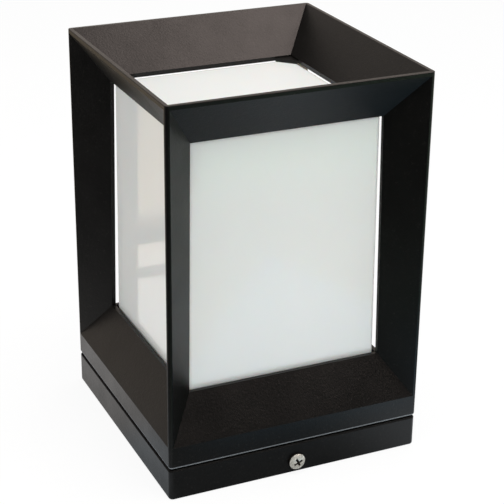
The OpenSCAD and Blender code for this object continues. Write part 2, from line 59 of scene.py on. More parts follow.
CAMERA_AZIMUTH = math.radians(-24.609)
CAMERA_ELEVATION = math.radians(23.903)
CAMERA_ROLL = math.radians(0.682)
CAMERA_DISTANCE = 760.15 * MM
CAMERA_TARGET = Vector((5.20, 0.0, 88.64)) * MM
CAMERA_LENS_MM = 109.31
SENSOR_MM = 36.0


def add_camera():
    """Camera at the photograph's viewing angle, rolled a little as the photograph is."""
    flat = math.cos(CAMERA_ELEVATION)
    back = Vector((math.sin(CAMERA_AZIMUTH) * flat, -math.cos(CAMERA_AZIMUTH) * flat,
                   math.sin(CAMERA_ELEVATION)))
    level = Vector((math.cos(CAMERA_AZIMUTH), math.sin(CAMERA_AZIMUTH), 0.0))
    right = math.cos(CAMERA_ROLL) * level + math.sin(CAMERA_ROLL) * back.cross(level)
    up = back.cross(right)
    data = bpy.data.cameras.new("camera")
    data.lens = CAMERA_LENS_MM
    data.sensor_width = SENSOR_MM
    camera = bpy.data.objects.new("camera", data)
    SCENE.collection.objects.link(camera)
    turn = Matrix((right, up, back)).transposed().to_4x4()
    camera.matrix_world = Matrix.Translation(CAMERA_TARGET + CAMERA_DISTANCE * back) @ turn
    SCENE.camera = camera


# ---------- node helpers ----------

class Graph:
    """A node tree with short calls for what repeats."""

    def __init__(self, tree, coordinate="Object"):
        self.nodes = tree.nodes
        self.links = tree.links
        self.place = self.nodes.new("ShaderNodeTexCoord").outputs[coordinate]

    def feed(self, socket, value):
        """Links a socket, or sets its number or colour."""
        if isinstance(value, bpy.types.NodeSocket):
            self.links.new(value, socket)
        elif isinstance(value, (tuple, list)) and socket.type == "RGBA":
            socket.default_value = (*value, 1.0)
        else:
            socket.default_value = value

    def noise(self, size, detail=3.0, rough=0.5, stretch=(1, 1, 1)):
        """Noise with features of about this size, in metres."""
        mapping = self.nodes.new("ShaderNodeMapping")
        self.feed(mapping.inputs["Scale"], stretch)
        self.feed(mapping.inputs["Vector"], self.place)
        node = self.nodes.new("ShaderNodeTexNoise")
        self.feed(node.inputs["Scale"], 1.0 / size)
        self.feed(node.inputs["Detail"], detail)
        self.feed(node.inputs["Roughness"], rough)
        self.feed(node.inputs["Vector"], mapping.outputs["Vector"])
        return node.outputs["Fac"]

    def cells(self, size):
        """Random grey per cell, with cells of about this size."""
        node = self.nodes.new("ShaderNodeTexVoronoi")
        self.feed(node.inputs["Scale"], 1.0 / size)
        self.feed(node.inputs["Vector"], self.place)
        grey = self.nodes.new("ShaderNodeSeparateColor")
        self.feed(grey.inputs["Color"], node.outputs["Color"])
        return grey.outputs["Red"]

    def fade(self, value, low, high, to_low=0.0, to_high=1.0):
        """Maps low..high to to_low..to_high smoothly, held at the ends."""
        node = self.nodes.new("ShaderNodeMapRange")
        node.interpolation_type = "SMOOTHSTEP"
        for socket, number in zip(node.inputs, (value, low, high, to_low, to_high)):
            self.feed(socket, number)
        return node.outputs["Result"]

    def ramp(self, value, low, high, to_low=0.0, to_high=1.0):
        """Fade of a distance in metres between two numbers in millimetres."""
        return self.fade(value, low * MM, high * MM, to_low, to_high)

    def slope(self, direction, start, end, before=0.0, after=1.0):
        """Fade along a direction between two places in millimetres."""
        return self.ramp(self.along(direction), start, end, before, after)

    def math(self, kind, a, b=0.0):
        node = self.nodes.new("ShaderNodeMath")
        node.operation = kind
        self.feed(node.inputs[0], a)
        self.feed(node.inputs[1], b)
        return node.outputs["Value"]

    def along(self, direction):
        """How far the place lies along a direction."""
        node = self.nodes.new("ShaderNodeVectorMath")
        node.operation = "DOT_PRODUCT"
        self.feed(node.inputs[0], self.place)
        self.feed(node.inputs[1], direction)
        return node.outputs["Value"]

    def between(self, factor, low, high):
        """Number between low and high."""
        node = self.nodes.new("ShaderNodeMix")
        for socket, value in zip(node.inputs[0:1] + node.inputs[2:4], (factor, low, high)):
            self.feed(socket, value)
        return node.outputs[0]

    def blend(self, factor, a, b):
        """Colour between a and b."""
        node = self.nodes.new("ShaderNodeMix")
        node.data_type = "RGBA"
        for socket, value in zip((node.inputs[0], *node.inputs[6:8]), (factor, a, b)):
            self.feed(socket, value)
        return node.outputs[2]

    def shader_mix(self, factor, a, b):
        node = self.nodes.new("ShaderNodeMixShader")
        for socket, value in zip(node.inputs, (factor, a, b)):
            self.feed(socket, value)
        return node.outputs[0]

    def ray(self, kind):
        return self.nodes.new("ShaderNodeLightPath").outputs[f"Is {kind} Ray"]


NOISE_RANGE = 0.3, 0.7  # nearly all of a noise lies between these


class Finish(Graph):
    """A surface material built on the principled shader."""

    def __init__(self, name, **values):
        self.slot = name
        self.material = bpy.data.materials.new(name)
        self.material.use_nodes = True
        super().__init__(self.material.node_tree)
        self.shader = self.nodes["Principled BSDF"]
        for socket, value in values.items():
            self.feed(self.shader.inputs[socket.replace("_", " ")], value)

    def colour(self, value):
        self.feed(self.shader.inputs["Base Color"], value)

    def roughness(self, value):
        self.feed(self.shader.inputs["Roughness"], value)

    def spread(self, noise, low, high):
        """Maps the range of a noise to low..high."""
        return self.fade(noise, *NOISE_RANGE, low, high)

    def spots(self, size, start, full, detail=3.0, rough=0.7):
        """Sparse spots of this size: 0 where the noise is under start, 1 over full."""
        return self.fade(self.noise(size, detail, rough), start, full)

    def over(self, base, mask, share, colour):
        """Colour laid over the base by a share of the mask."""
        return self.blend(self.math("MULTIPLY", mask, share), base, colour)

    def bump(self, height, depth):
        """Bump of this depth in metres; a second call goes on top of the first."""
        node = self.nodes.new("ShaderNodeBump")
        self.feed(node.inputs["Distance"], depth)
        self.feed(node.inputs["Height"], height)
        normal = self.shader.inputs["Normal"]
        if normal.is_linked:
            self.feed(node.inputs["Normal"], normal.links[0].from_socket)
        self.feed(normal, node.outputs["Normal"])


# ---------- materials ----------

# Powder coat. The two fades are heights above the seam between skirt and frame.
COAT_SPECULAR = 0.28
COAT_BLACKS = (0.0034, 0.0033, 0.0032), (0.0058, 0.0053, 0.0049)
COAT_GRAINS = (0.034, 0.031, 0.029)
COAT_ROUGHNESS = 0.27, 0.33
PALE_EDGE_COLOUR = (0.22, 0.24, 0.26)
PALE_EDGE_FADE = 1.5, 2.0
DIRTY_FADE = -1.0, -0.6
DIRTY_ROUGHNESS = 0.90


def powder_coat(name, pale_lower_edge=False):
    """Satin black powder coat: fine orange peel, proud grains and slight sheen changes.
    On the frame its colour turns pale grey along the rounded lower edge; on the
    skirt, dirt from the seam dulls the rounded upper edge."""
    f = Finish(name, Specular_IOR_Level=COAT_SPECULAR)
    tone = f.noise(22 * MM, detail=4.0, rough=0.6)
    grain = f.noise(0.9 * MM, rough=0.6)
    specks = f.spots(1.3 * MM, 0.58, 0.72)
    coat = f.over(f.blend(tone, *COAT_BLACKS), specks, 0.35, COAT_GRAINS)
    sheen = f.math("ADD", f.spread(tone, *COAT_ROUGHNESS), f.math("MULTIPLY", grain, 0.08))
    from_seam = f.math("SUBTRACT", f.along(UP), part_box("base_skirt")[1][2])
    if pale_lower_edge:
        # The frame's colour turns pale grey along its rounded lower edge.
        coat = f.blend(f.ramp(from_seam, *PALE_EDGE_FADE, 1.0, 0.0), coat, PALE_EDGE_COLOUR)
    else:
        sheen = f.between(f.ramp(from_seam, *DIRTY_FADE), sheen, DIRTY_ROUGHNESS)
    f.colour(coat)
    f.roughness(sheen)
    f.bump(f.noise(3.0 * MM, detail=2.0), 0.030 * MM)
    f.bump(grain, 0.080 * MM)
    return f


def opal_plastic():
    """Glossy opal moulding with a trace of flow lines and fine dust."""
    f = Finish("opal", IOR=1.49, Subsurface_Weight=0.10, Subsurface_Scale=2 * MM)
    flow = f.noise(40 * MM, stretch=(1, 1, 0.35))
    white = f.blend(flow, (0.80, 0.81, 0.80), (0.84, 0.84, 0.82))
    dust_colour = (0.70, 0.69, 0.66)
    f.colour(f.over(white, f.spots(0.9 * MM, 0.64, 0.78), 0.3, dust_colour))
    f.roughness(f.spread(flow, 0.05, 0.09))
    f.bump(flow, 0.03 * MM)
    return f


def rubber():
    """Dull black rubber with a fine grain."""
    f = Finish("soft_rubber", Specular_IOR_Level=0.35)
    grain = f.noise(0.4 * MM, detail=4.0, rough=0.65)
    f.colour(f.blend(grain, (0.010, 0.010, 0.010), (0.026, 0.025, 0.024)))
    f.roughness(f.spread(grain, 0.62, 0.8))
    f.bump(grain, 0.02 * MM)
    return f


def zinc_plate():
    """Galvanised sheet: pale spangle cells, rolling lines and a dull film."""
    f = Finish("zinc_steel", Metallic=1.0)
    spangle = f.cells(4.5 * MM)
    film = f.noise(12 * MM, detail=5.0, rough=0.65)
    bright = f.blend(spangle, (0.46, 0.48, 0.50), (0.62, 0.64, 0.66))
    film_colour = (0.38, 0.39, 0.39)
    f.colour(f.blend(f.fade(film, 0.45, 0.75), bright, film_colour))
    f.roughness(f.math("ADD", f.fade(spangle, 0, 1, 0.30, 0.40),
                       f.math("MULTIPLY", film, 0.12)))
    f.bump(f.noise(0.5 * MM, detail=2.0, stretch=(1, 0.04, 1)), 0.010 * MM)
    return f


def plated(name, bright, worn, rough=0.22, metallic=1.0):
    """Plated or drawn metal: bright, with fine turning marks and duller patches."""
    f = Finish(name, Metallic=metallic)
    patch = f.noise(1.8 * MM, detail=5.0, rough=0.65)
    fine = f.noise(0.25 * MM, detail=2.0)
    f.colour(f.blend(f.fade(patch, 0.35, 0.75), bright, worn))
    f.roughness(f.math("ADD", f.spread(patch, rough, rough + 0.14),
                       f.math("MULTIPLY", fine, 0.08)))
    f.bump(fine, 0.006 * MM)
    return f


# Painted shade on a clamp screw. The first two fades are heights from the top of its head.
PAINTED_SHADE = (0.030, 0.025, 0.020)
RIM_FADE = -1.75, -1.45
RECESS_FADE = -0.75, -0.45
RECESS_RADII = 2.3, 2.5


def screw_with_painted_shade(name, bright, worn):
    """Plated screw head, with painted shade in its cross recess and on the lower side of its
    head.
    The screws lie along Y, front and back at the same height."""
    f = plated(name, bright, worn, metallic=0.45)
    low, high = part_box("side_screw_front")
    x = f.along(RIGHT)
    z = f.math("SUBTRACT", f.along(UP), (low[2] + high[2]) / 2)
    radius = f.math("SQRT", f.math("ADD", f.math("MULTIPLY", x, x), f.math("MULTIPLY", z, z)))
    from_top = f.math("SUBTRACT", f.math("ABSOLUTE", f.along(BACK)), -low[1])
    # Painted shade: the colour darkens on the lower side of the head and in its cross recess.
    rim = f.ramp(from_top, *RIM_FADE, 1.0, 0.0)
    recess = f.math("MULTIPLY", f.ramp(radius, *RECESS_RADII, 1.0, 0.0),
                    f.ramp(from_top, *RECESS_FADE, 1.0, 0.0))
    unshaded = f.shader.inputs["Base Color"].links[0].from_socket
    f.colour(f.blend(f.math("MAXIMUM", rim, recess), unshaded, PAINTED_SHADE))
    return f


def porcelain():
    """Glazed porcelain: creamy, glossy, with a few dark pits in the glaze."""
    f = Finish("porcelain", Coat_Weight=0.6, Coat_Roughness=0.05)
    tone = f.noise(14 * MM, detail=4.0, rough=0.6)
    pits = f.spots(0.7 * MM, 0.72, 0.80, detail=2.0, rough=0.6)
    glaze = f.blend(tone, (0.76, 0.74, 0.68), (0.82, 0.81, 0.76))
    pit_colour = (0.45, 0.40, 0.33)
    f.colour(f.over(glaze, pits, 0.5, pit_colour))
    f.roughness(f.spread(tone, 0.16, 0.28))
    f.bump(f.noise(6 * MM, detail=2.0), 0.08 * MM)
    return f


def smooth_white(name, low, high, rough):
    """Smooth pale finish, baked paint or moulded plastic, with faint unevenness."""
    f = Finish(name)
    tone = f.noise(10 * MM, detail=4.0, rough=0.6)
    f.colour(f.blend(tone, low, high))
    f.roughness(f.spread(tone, rough, rough + 0.12))
    f.bump(f.noise(1.0 * MM, detail=2.0), 0.010 * MM)
    return f


def frosted_globe():
    """Frosted white plastic that lets a little light in."""
    f = Finish("lamp_opal", Subsurface_Weight=0.3, Subsurface_Scale=2 * MM)
    tone = f.noise(8 * MM, rough=0.6)
    frost = f.noise(0.15 * MM, detail=2.0, rough=0.6)
    f.colour(f.blend(tone, (0.80, 0.80, 0.78), (0.86, 0.86, 0.84)))
    f.roughness(f.spread(frost, 0.42, 0.56))
    f.bump(frost, 0.004 * MM)
    return f


def green_lacquer():
    """Green lacquer over steel, darker where it is worn."""
    f = Finish("ground_green", Metallic=0.6)
    patch = f.noise(1.5 * MM, detail=4.0, rough=0.65)
    f.colour(f.blend(f.fade(patch, 0.4, 0.8), (0.02, 0.30, 0.09), (0.05, 0.16, 0.07)))
    f.roughness(f.spread(patch, 0.25, 0.4))
    f.bump(f.noise(0.3 * MM), 0.006 * MM)
    return f


def dark_glass():
    """Black glassy insulator."""
    f = Finish("lamp_insulator", Coat_Weight=0.5, Coat_Roughness=0.04)
    tone = f.noise(3 * MM, rough=0.6)
    f.colour(f.blend(tone, (0.010, 0.010, 0.013), (0.028, 0.026, 0.030)))
    f.roughness(f.spread(tone, 0.08, 0.18))
    f.bump(tone, 0.02 * MM)
    return f


def make_materials():
    """Every finish that the record names, by its slot."""
    return {f.slot: f.material for f in (
        powder_coat("frame_coat", pale_lower_edge=True),
        powder_coat("skirt_coat"),
        opal_plastic(),
        rubber(),
        zinc_plate(),
        plated("screw_steel", (0.70, 0.69, 0.67), (0.42, 0.41, 0.40)),
        screw_with_painted_shade("side_screw_steel", (0.80, 0.77, 0.70), (0.52, 0.50, 0.45)),
        green_lacquer(),
        smooth_white("block_plastic", (0.70, 0.68, 0.61), (0.77, 0.76, 0.70), rough=0.42),
        plated("brass", (0.84, 0.61, 0.27), (0.50, 0.34, 0.15), rough=0.20),
        porcelain(),
        smooth_white("dish_white", (0.80, 0.80, 0.78), (0.85, 0.85, 0.83), rough=0.26),
        plated("lamp_cap_metal", (0.74, 0.74, 0.73), (0.52, 0.52, 0.51)),
        dark_glass(),
        smooth_white("lamp_plastic", (0.76, 0.76, 0.73), (0.82, 0.82, 0.79), rough=0.34),
        frosted_globe(),
    )}


# ---------- mesh helpers ----------

SLOT_OF = {part["node"]: part["material_slot"] for part in frame["record"]["subparts"]}
BODY_OF = {node: body for body, nodes in frame["record"]["behaviour"]["bodies"].items()
           for node in nodes}
SMOOTH_ANGLE = math.radians(28)  # edges below this are shaded smooth
BEVEL_ANGLE = math.radians(24)  # edges above this are rounded over
FLAT_ANGLE = math.radians(0.2)  # faces that differ less than this are made one
BEVEL_STEPS = 3
WELD = 0.001 * MM
BY_FACE_AREA = 100  # weight at which the larger face alone sets a normal


def flat_shaded(mesh):
    """The same mesh, with normals that keep its large flat faces flat between the
    rounded edges."""
    helper = bpy.data.objects.new("helper", mesh)
    SCENE.collection.objects.link(helper)
    modifier = helper.modifiers.new("flat", "WEIGHTED_NORMAL")
    modifier.keep_sharp = True
    modifier.weight = BY_FACE_AREA
    bpy.context.view_layer.update()
    result = bpy.data.meshes.new_from_object(
        helper.evaluated_get(bpy.context.evaluated_depsgraph_get()))
    bpy.data.objects.remove(helper)
    return result


def add_piece(name, mesh, node, flat=False):
    """Puts a mesh in the place of a CAD node, with its body, slot and finish."""
    mesh.polygons.foreach_set("use_smooth", [True] * len(mesh.polygons))
    mesh.set_sharp_from_angle(angle=SMOOTH_ANGLE)
    if flat:
        mesh = flat_shaded(mesh)
    mesh.materials.clear()
    mesh.materials.append(MATERIALS[SLOT_OF[node]])
    piece = bpy.data.objects.new(name, mesh)
    SCENE.collection.objects.link(piece)
    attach(piece, BODY_OF[node])
    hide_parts(node)


def softened(name, node, width):
    """Copy of a CAD node with its sharp edges rounded over, as on real castings, plates
    and mouldings."""
    bm = bmesh.new()
    bm.from_mesh(frame["nodes"][node].data)
    bmesh.ops.remove_doubles(bm, verts=bm.verts, dist=WELD)
    bmesh.ops.dissolve_limit(bm, angle_limit=FLAT_ANGLE, verts=bm.verts, edges=bm.edges)
    sharp = [e for e in bm.edges
             if len(e.link_faces) == 2 and e.calc_face_angle(0.0) > BEVEL_ANGLE]
    bmesh.ops.bevel(bm, geom=sharp, offset=width * MM, segments=BEVEL_STEPS, profile=0.5,
                    affect="EDGES", clamp_overlap=True, loop_slide=True)
    mesh = bpy.data.meshes.new(name)
    bm.to_mesh(mesh)
    bm.free()
    add_piece(name, mesh, node, flat=True)


def turns(count):
    """Equal angles round a full turn."""
    return [2 * math.pi * i / count for i in range(count)]


def loop(radius, height, angles):
    """Points round Z; the radius and height are numbers or functions of the angle."""
    values = [(radius(a) if callable(radius) else radius,
               height(a) if callable(height) else height, a) for a in angles]
    return [(r * math.cos(a), r * math.sin(a), z) for r, z, a in values]


class Solid:
    """Faces gathered from lofts, in millimetres."""

    def __init__(self):
        self.verts = []
        self.faces = []

    def loft(self, loops, closed=False):
        """Joins loops of equally many points; a loop of one point ends in a tip."""
        starts = []
        for ring in loops:
            starts.append(len(self.verts))
            self.verts.extend(ring)
        pairs = list(zip(range(len(loops)), range(1, len(loops))))
        if closed:
            pairs.append((len(loops) - 1, 0))
        for low, high in pairs:
            a, b = starts[low], starts[high]
            count = max(len(loops[low]), len(loops[high]))
            for i in range(count):
                j = (i + 1) % count
                if len(loops[low]) == 1:
                    self.faces.append((a, b + j, b + i))
                elif len(loops[high]) == 1:
                    self.faces.append((a + i, a + j, b))
                else:
                    self.faces.append((a + i, a + j, b + j, b + i))
        return self

    def copies(self, places):
        """The same faces at several places."""
        verts, faces = self.verts, self.faces
        self.verts, self.faces = [], []
        for place in places:
            start = len(self.verts)
            self.verts.extend(tuple(place @ Vector(v)) for v in verts)
            self.faces.extend(tuple(start + i for i in f) for f in faces)
        return self

    def add(self, name, node):
        """Makes the piece that stands for a CAD node."""
        mesh = bpy.data.meshes.new(name)
        mesh.from_pydata([Vector(v) * MM for v in self.verts], [], self.faces)
        bm = bmesh.new()
        bm.from_mesh(mesh)
        bmesh.ops.recalc_face_normals(bm, faces=bm.faces)
        bm.to_mesh(mesh)
        bm.free()
        add_piece(name, mesh, node)


def node_box(node):
    """Lowest and highest corner of a CAD node, in millimetres."""
    low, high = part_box(node)
    return Vector(low) / MM, Vector(high) / MM


# ---------- diffuser ----------

DIFFUSER_HALF = 47.70  # half its width at the top
DIFFUSER_TAPER = 1.05 / 122.1  # half width gained for each millimetre down
DIFFUSER_WALL = 2.5
DIFFUSER_EDGE = 1.5
INNER_EDGE = 0.4
EDGE_STEPS = 5
FLANGE_T = 2.5
FLANGE_CORNER = 8.0
FLANGE_EDGE = 0.3
FOOT_FILLET = 0.5
LEAST_CORNER = 0.05
CORNER_STEPS = 6
MARGIN = 0.4  # strip beside an edge that keeps the flat next to it flat in smooth shading
MARGIN_SHARE = 0.2  # the most of a flat that a margin takes up
TOP_RINGS = 0.98, 0.5


def square_loop(half, corner, height):
    """Square with round corners, seen from above, with a margin beside each corner."""
    points = []
    straight = half - corner
    margin = min(MARGIN, MARGIN_SHARE * straight)
    for quarter in range(4):
        turn = math.pi / 2 * quarter
        ux, uy = round(math.cos(turn)), round(math.sin(turn))
        spots = [(half, straight - margin)]
        for i in range(CORNER_STEPS + 1):
            a = math.pi / 2 * i / CORNER_STEPS
            spots.append((straight + corner * math.cos(a), straight + corner * math.sin(a)))
        spots.append((straight - margin, half))
        points += [(ux * u - uy * v, uy * u + ux * v, height) for u, v in spots]
    return points


def add_diffuser():
    """Drafted opal box, open below, with round edges and a flange round its foot."""
    low, high = node_box("diffuser")
    flange_top = low.z + FLANGE_T

    def half_at(z):
        return DIFFUSER_HALF + DIFFUSER_TAPER * (high.z - z)

    def shell(inset, edge, z_foot):
        """Wall loops from a foot height up to the middle of the top."""
        top = high.z - inset
        loops = [square_loop(half_at(z) - inset, edge, z)
                 for z in (z_foot, z_foot + MARGIN, top - edge - MARGIN)]
        for i in range(EDGE_STEPS + 1):
            a = math.pi / 2 * i / EDGE_STEPS
            z = top - edge + edge * math.sin(a)
            loops.append(square_loop(half_at(z) - inset - edge * (1 - math.cos(a)),
                                     max(edge * math.cos(a), LEAST_CORNER), z))
        for share in TOP_RINGS:
            loops.append(square_loop((half_at(top) - inset - edge) * share,
                                     LEAST_CORNER * share, top))
        return loops + [[(0, 0, top)]]

    outside = shell(0, DIFFUSER_EDGE, flange_top + FOOT_FILLET)
    flange = [square_loop(half_at(low.z) - DIFFUSER_WALL, INNER_EDGE, low.z)]
    for half, z in ((high.x - FLANGE_EDGE, low.z), (high.x, low.z + FLANGE_EDGE),
                    (high.x, flange_top - FLANGE_EDGE), (high.x - FLANGE_EDGE, flange_top)):
        flange.append(square_loop(half, FLANGE_CORNER - (high.x - half), z))
    flange.append(square_loop(half_at(flange_top) + FOOT_FILLET, DIFFUSER_EDGE + FOOT_FILLET,
                              flange_top))
    inside = shell(DIFFUSER_WALL, INNER_EDGE, low.z)
    Solid().loft(flange + outside).loft(inside).add("opal_box", "diffuser")


# ---------- outlines ----------

MOST_OF_SIDE = 0.45  # the most of a side that a rounded corner takes up
ROUNDING_STEPS = 4


def rounded(points, radius):
    """Closed outline with its corners rounded; points on the axis stay as they are."""
    outline = []
    for i, point in enumerate(points):
        here = Vector(point)
        if here.x == 0:
            outline.append(tuple(here))
            continue
        before = Vector(points[i - 1]) - here
        after = Vector(points[(i + 1) % len(points)]) - here
        start = here + before * min(radius / before.length, MOST_OF_SIDE)
        end = here + after * min(radius / after.length, MOST_OF_SIDE)
        for k in range(ROUNDING_STEPS + 1):
            t = k / ROUNDING_STEPS
            outline.append(tuple(start.lerp(here, t).lerp(here.lerp(end, t), t)))
    return outline


def lathe(outline, segments=64):
    """Solid turned about Z from a closed outline of radii and heights."""
    angles = turns(segments)
    loops = [[(0, 0, z)] if r == 0 else loop(r, z, angles) for r, z in outline]
    return Solid().loft(loops, closed=outline[0][0] != 0)


# ---------- screws ----------

ScrewKind = namedtuple("ScrewKind", "head_r head_h shank_r pitch countersunk")
CLAMP_SCREW = ScrewKind(4.1, 2.6, 2.05, 0.7, False)
SMALL_SCREW = ScrewKind(2.8, 1.9, 1.4, 0.5, False)
FLUSH_SCREW = ScrewKind(3.8, 1.9, 1.9, 0.7, True)
EARTH_SCREW = ScrewKind(4.0, 2.4, 2.0, 0.7, False)

THREAD_DEPTH = 0.3  # share of the pitch
FLANK_SLOPE = 1.5
CREST_CUT = 0.2
ROWS_PER_PITCH = 6
CROSS_STEPS = 10
TINY = 1e-6
TIP_DROP = 0.25  # share of the shank's radius

# A screw's head: lengths across it as shares of its radius, the others of its height.
RECESS_REACH = 0.58
RECESS_HALF_WIDTH = 0.15
PAN_RECESS_DEPTH = 0.62
FLUSH_RECESS_DEPTH = 0.55
RECESS_TIP = 1.15  # share of the recess's depth
RECESS_LOOPS = (0.35, 1.05), (0.70, 1.0)  # shares of its outline and depth
LAND_START = 1.05  # share of its outline
LAND_STEPS = 0.0, 0.3, 0.6, 0.85, 1.0
PAN_DOME = 0.55
DOME_POWER = 2.3
RIM = 0.96
RIM_DROP = 0.04
SEAT_EDGE = 0.12, 0.15  # the seat's small bevel, in millimetres


def thread(angle, height, pitch):
    """Depth of a cut thread from 0 at the crest to 1 at the root, flat at both."""
    share = (height / pitch - angle / (2 * math.pi)) % 1.0
    return min(max(abs(2 * share - 1) * FLANK_SLOPE - CREST_CUT, 0.0), 1.0)


def thread_loops(radius, z0, z1, pitch, angles, end_drop=0.0):
    """Loops of an outside thread from z0 to z1, which narrows by end_drop over its last
    turn."""
    rows = max(round(abs(z1 - z0) / pitch * ROWS_PER_PITCH), 2)
    loops = []
    for i in range(rows + 1):
        z = z0 + (z1 - z0) * i / rows
        fall = end_drop * max(0.0, 1 - abs(z1 - z) / pitch)
        loops.append(loop(
            lambda a, z=z, fall=fall:
            radius - fall - THREAD_DEPTH * pitch * thread(a, z, pitch), z, angles))
    return loops


def cross_angles(half_width, reach):
    """Angles round a head, with one at each corner of its cross recess."""
    corner = math.degrees(math.atan2(half_width, reach))
    step = (90 - 2 * corner) / CROSS_STEPS
    between = [corner + step * i for i in range(CROSS_STEPS + 1)]
    quarter = [0, corner / 2, *between, 90 - corner / 2]
    return [math.radians(q + 90 * k) for k in range(4) for q in quarter]


def cross_radius(angle, half_width, reach):
    """Outline of a cross recess at an angle."""
    turn = abs((angle + math.pi / 4) % (math.pi / 2) - math.pi / 4)
    return min(reach / math.cos(turn), half_width / max(math.sin(turn), TINY))


def screw(kind, height):
    """Cross-recess screw of this whole height, down -Z, with its seat at z = 0."""
    head_r, head_h = kind.head_r, kind.head_h
    length = height - head_h
    reach = head_r * RECESS_REACH
    half_width = head_r * RECESS_HALF_WIDTH
    angles = cross_angles(half_width, reach)
    depth = head_h * (FLUSH_RECESS_DEPTH if kind.countersunk else PAN_RECESS_DEPTH)
    dome = 0.0 if kind.countersunk else PAN_DOME
    edge = RIM * head_r

    def top(r):
        return head_h * (1 - dome * (r / head_r) ** DOME_POWER)

    def ring(radius):
        """Loop on the head's outside."""
        return loop(radius, lambda a: top(radius(a)), angles)

    def cross(scale):
        return lambda a: scale * cross_radius(a, half_width, reach)

    def outward(share):
        """Outline that turns from just outside the cross into the round rim."""
        return lambda a: cross(LAND_START)(a) * (1 - share) + edge * share

    loops = [[(0, 0, head_h - depth * RECESS_TIP)]]
    loops += [loop(cross(share), head_h - depth * deep, angles) for share, deep in RECESS_LOOPS]
    loops.append(ring(cross(1.0)))
    loops += [ring(outward(share)) for share in LAND_STEPS]
    loops.append(loop(head_r, top(edge) - RIM_DROP * head_r, angles))
    if not kind.countersunk:
        across, up = SEAT_EDGE
        loops += [loop(head_r, up, angles), loop(head_r - across, 0, angles)]
    loops += thread_loops(kind.shank_r, 0, -length, kind.pitch, angles, TIP_DROP * kind.shank_r)
    loops.append([(0, 0, -length)])
    return Solid().loft(loops)


LYING = Matrix.Rotation(math.pi / 2, 4, "X")
HEAD_DOWN = Matrix.Rotation(math.pi, 4, "X")
RECESS_TURN = 25
RECESS_STEP = 37  # so that no two recesses of a set stand alike


def turned(degrees):
    """Turn about Z."""
    return Matrix.Rotation(math.radians(degrees), 4, "Z")


def recess_turn(k=0):
    """Turn of a screw about its own axis, for the k-th of a set."""
    return turned(RECESS_TURN + RECESS_STEP * k)


def at(x, y, z, turn):
    """Placement, after a turn."""
    return Matrix.Translation((x, y, z)) @ turn


def add_screws():
    """All the cross-recess screws, each where its CAD node is."""
    for side, name in ((0, "front"), (180, "back")):
        node = f"side_screw_{name}"
        low, high = node_box(node)
        seat = max(-low.y, high.y) - CLAMP_SCREW.head_h
        place = turned(side) @ at(0, -seat, (low.z + high.z) / 2, LYING) @ recess_turn()
        screw(CLAMP_SCREW, high.y - low.y).copies([place]).add(f"clamp_screw_{name}", node)

    for kind, name, node, diagonal in ((SMALL_SCREW, "ring_screws", "retainer_screws", 0),
                                       (FLUSH_SCREW, "skirt_screws", "base_screws", 1)):
        low, high = node_box(node)
        out = high.x - kind.head_r
        seat = at(out, out * diagonal, low.z + kind.head_h, HEAD_DOWN)
        screw(kind, high.z - low.z).copies(
            turned(90 * k) @ seat @ recess_turn(k) for k in range(4)).add(name, node)

    for name, node, diagonal in (("bridge_screws", "strap_screws", 0),
                                 ("tray_screws", "dish_screws", 1)):
        low, high = node_box(node)
        out = high.x - SMALL_SCREW.head_r
        seat_z = high.z - SMALL_SCREW.head_h
        screw(SMALL_SCREW, high.z - low.z).copies(
            at(k * out, -k * out * diagonal, seat_z, recess_turn(k)) for k in (-1, 1)
        ).add(name, node)

    low, high = node_box("ground_screw")
    place = at((low.x + high.x) / 2, 0, high.z - EARTH_SCREW.head_h, recess_turn())
    screw(EARTH_SCREW, high.z - low.z).copies([place]).add("earth_screw", "ground_screw")


# ---------- lamp and lampholder ----------

# Radii, depths and walls in millimetres.
ROLL_PITCH = 3.63
ROLL_STEPS = 8
SHELL_SIDES = 72
CAP_ROLL = 0.7
CONTACT_R = 7
FLUTES = 24
FLUTE_SIDES = 6
FLUTE_DEPTH = 0.7
FLUTE_STEPS = 12
BODY_R = 15.5
SHOULDER_DROP = 30  # from the housing's top to where the flutes begin
GLOBE_R = 25.0
GLOBE_WALL = 1.2
GLOBE_STEPS = 24
HOLDER_WALL = 0.45
HOLDER_ROLL = 0.22
BOLT_BORE = 3.6
BOLT_PITCH = 1.0
BOLT_SIDES = 48
LATHE_SIDES = 96


def rolled(radius, depth, z, angle):
    """Radius of a rolled screw shell: crests at the radius, round valleys below."""
    wave = 0.5 - 0.5 * math.cos(2 * math.pi * (z / ROLL_PITCH - angle / (2 * math.pi)))
    return radius - depth * wave


def rolled_loops(radius, depth, z0, z1, angles):
    """Loops of a rolled screw shell from z0 to z1."""
    rows = round(abs(z1 - z0) / ROLL_PITCH * ROLL_STEPS)
    heights = [z0 + (z1 - z0) * i / rows for i in range(rows + 1)]
    return [loop(lambda a, z=z: rolled(radius, depth, z, a), z, angles) for z in heights]


def plain_loops(base, points, angles):
    """Round loops from pairs of a radius and a height above the base."""
    return [loop(r, base + z, angles) for r, z in points]


def add_cap():
    """Rolled screw cap of thin metal, and the insulator below it."""
    low, high = node_box("lamp_cap")
    angles = turns(SHELL_SIDES)
    r = high.x
    outside = plain_loops(low.z, ((CONTACT_R, 0), (8.6, 0.9), (10, 2), (r - 0.8, 4.4)), angles)
    outside += rolled_loops(r, CAP_ROLL, low.z + 5, high.z - 4.2, angles)
    outside += plain_loops(high.z, ((r - 0.35, -3.6), (r, -3), (r, -0.3), (r - 0.15, 0)), angles)
    inside = plain_loops(high.z, ((r - 0.5, 0), (r - 1.05, -3.5)), angles)
    inside += plain_loops(low.z, ((r - 1.1, 5.2), (9.7, 2.6), (CONTACT_R, 0.6)), angles)
    Solid().loft(outside + inside, closed=True).add("screw_cap", "lamp_cap")

    low, high = node_box("lamp_contact")
    outline = [(0, low.z), (2.4, low.z), (3.0, low.z + 0.9), (6.4, low.z + 1.3),
               (CONTACT_R, low.z + 1.7), (CONTACT_R, high.z), (0, high.z)]
    lathe(rounded(outline, 0.3)).add("cap_insulator", "lamp_contact")


